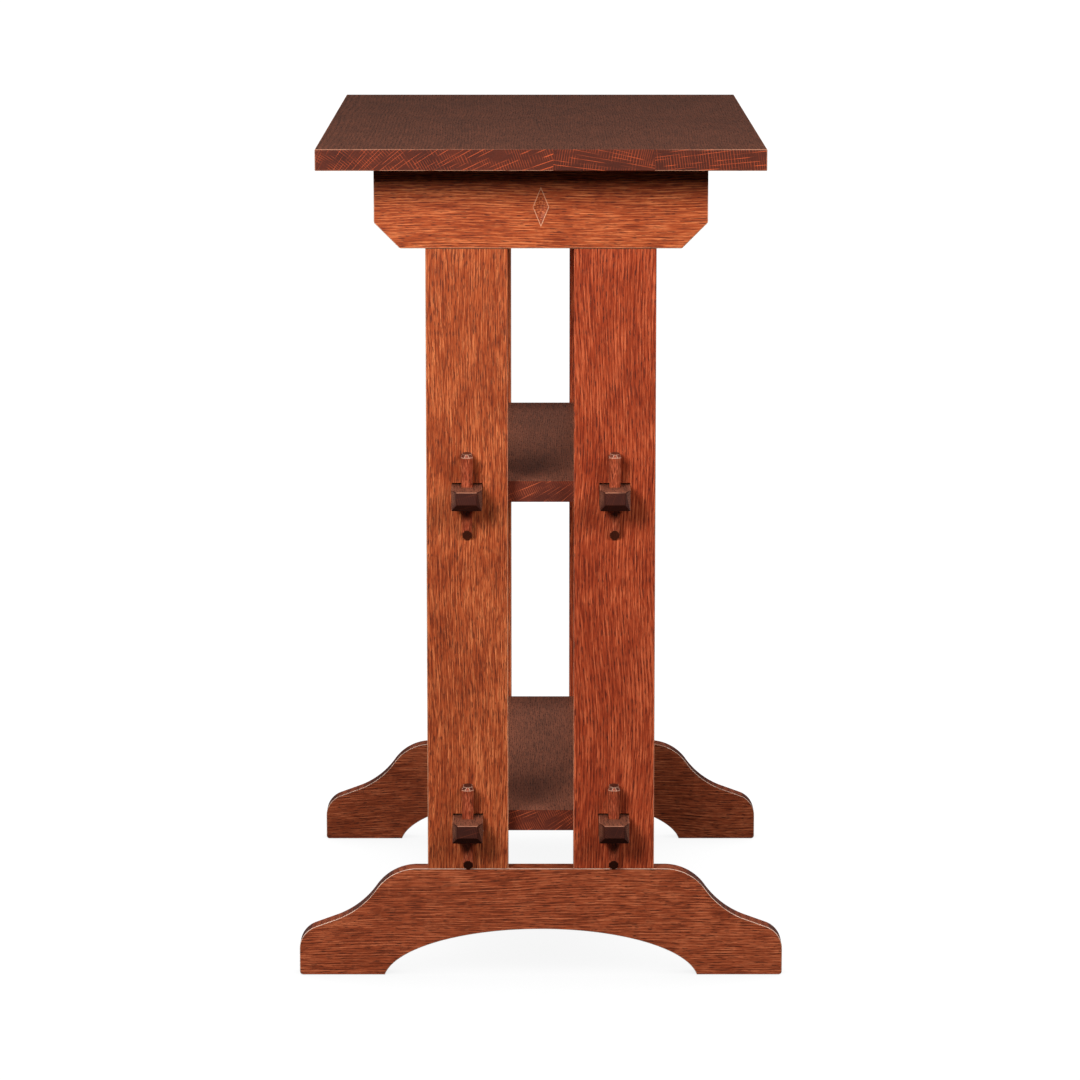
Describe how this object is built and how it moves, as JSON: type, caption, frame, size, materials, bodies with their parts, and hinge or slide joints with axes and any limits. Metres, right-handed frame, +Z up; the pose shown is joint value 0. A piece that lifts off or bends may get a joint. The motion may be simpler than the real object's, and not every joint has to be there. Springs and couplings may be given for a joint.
{
  "type": "photo album stand",
  "caption": "Oak knock-down stand for albums: shaped feet, paired posts, open shelves on wedge-keyed through tenons, and an overhanging board top.",
  "frame": {"origin": "on the floor under the middle of the top, the bottom centre of the whole stand", "axes": "+Z up, +Y from the front end frame to the rear one along the shelves, +X to the right seen from the front"},
  "size_m": [0.442, 0.66, 0.762],
  "materials": {
    "oak_frame": "satin",
    "oak_shelf": "satin",
    "oak_top": "satin",
    "oak_key": "satin",
    "zinc_steel": "satin"
  },
  "bodies": {
    "stand": {"foot_front": "oak_frame", "cleat_front": "oak_frame", "post_front_left": "oak_frame", "post_front_right": "oak_frame", "foot_rear": "oak_frame", "cleat_rear": "oak_frame", "post_rear_left": "oak_frame", "post_rear_right": "oak_frame", "shelf_upper": "oak_shelf", "shelf_lower": "oak_shelf", "top_board_left": "oak_top", "top_board_middle": "oak_top", "top_board_right": "oak_top", "fastener_front_left": "zinc_steel", "cleat_screw_front_left": "zinc_steel", "top_screw_front_left": "zinc_steel", "fastener_front_right": "zinc_steel", "cleat_screw_front_right": "zinc_steel", "top_screw_front_right": "zinc_steel", "fastener_rear_left": "zinc_steel", "cleat_screw_rear_left": "zinc_steel", "top_screw_rear_left": "zinc_steel", "fastener_rear_right": "zinc_steel", "cleat_screw_rear_right": "zinc_steel", "top_screw_rear_right": "zinc_steel"},
    "key_front_upper_left": {"key_front_upper_left": "oak_key"},
    "key_front_upper_right": {"key_front_upper_right": "oak_key"},
    "key_front_lower_left": {"key_front_lower_left": "oak_key"},
    "key_front_lower_right": {"key_front_lower_right": "oak_key"},
    "key_rear_upper_left": {"key_rear_upper_left": "oak_key"},
    "key_rear_upper_right": {"key_rear_upper_right": "oak_key"},
    "key_rear_lower_left": {"key_rear_lower_left": "oak_key"},
    "key_rear_lower_right": {"key_rear_lower_right": "oak_key"}
  },
  "joints": [
    {"name": "key_front_upper_left_slide", "type": "slide", "parent": "stand", "child": "key_front_upper_left", "axis": [0, 0, 1], "range_m": [0, 0.055]},
    {"name": "key_front_upper_right_slide", "type": "slide", "parent": "stand", "child": "key_front_upper_right", "axis": [0, 0, 1], "range_m": [0, 0.055]},
    {"name": "key_front_lower_left_slide", "type": "slide", "parent": "stand", "child": "key_front_lower_left", "axis": [0, 0, 1], "range_m": [0, 0.055]},
    {"name": "key_front_lower_right_slide", "type": "slide", "parent": "stand", "child": "key_front_lower_right", "axis": [0, 0, 1], "range_m": [0, 0.055]},
    {"name": "key_rear_upper_left_slide", "type": "slide", "parent": "stand", "child": "key_rear_upper_left", "axis": [0, 0, 1], "range_m": [0, 0.055]},
    {"name": "key_rear_upper_right_slide", "type": "slide", "parent": "stand", "child": "key_rear_upper_right", "axis": [0, 0, 1], "range_m": [0, 0.055]},
    {"name": "key_rear_lower_left_slide", "type": "slide", "parent": "stand", "child": "key_rear_lower_left", "axis": [0, 0, 1], "range_m": [0, 0.055]},
    {"name": "key_rear_lower_right_slide", "type": "slide", "parent": "stand", "child": "key_rear_lower_right", "axis": [0, 0, 1], "range_m": [0, 0.055]}
  ]
}
